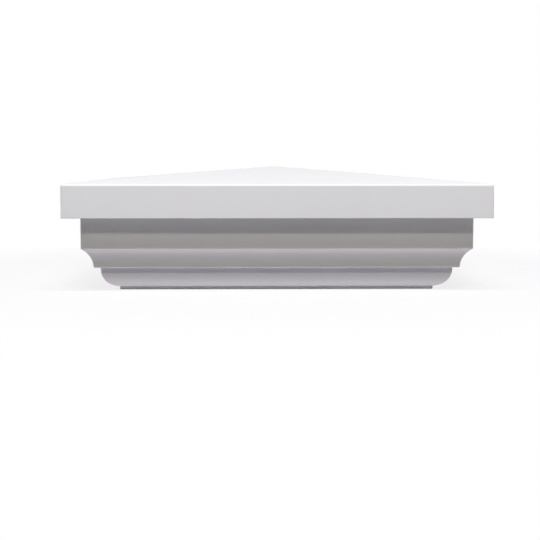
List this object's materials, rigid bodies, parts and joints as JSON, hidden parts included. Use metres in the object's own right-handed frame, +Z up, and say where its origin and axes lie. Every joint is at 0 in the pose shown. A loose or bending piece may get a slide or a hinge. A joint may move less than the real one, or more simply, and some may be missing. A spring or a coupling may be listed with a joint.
{
  "type": "post cap",
  "caption": "Square hollow post cap: a low pyramid roof on a slab, fascia, cove and quarter-round moulding. It drops over the end of a square post.",
  "frame": {"origin": "centre of the rim's flat underside, the part's lowest face", "axes": "+Z up through the roof's peak, +X and +Y each square to one side; the four sides are alike"},
  "size_m": [0.1804, 0.1804, 0.0534],
  "materials": {
    "white_vinyl": "satin"
  },
  "bodies": {
    "root": {"post_cap": "white_vinyl"}
  },
  "joints": []
}
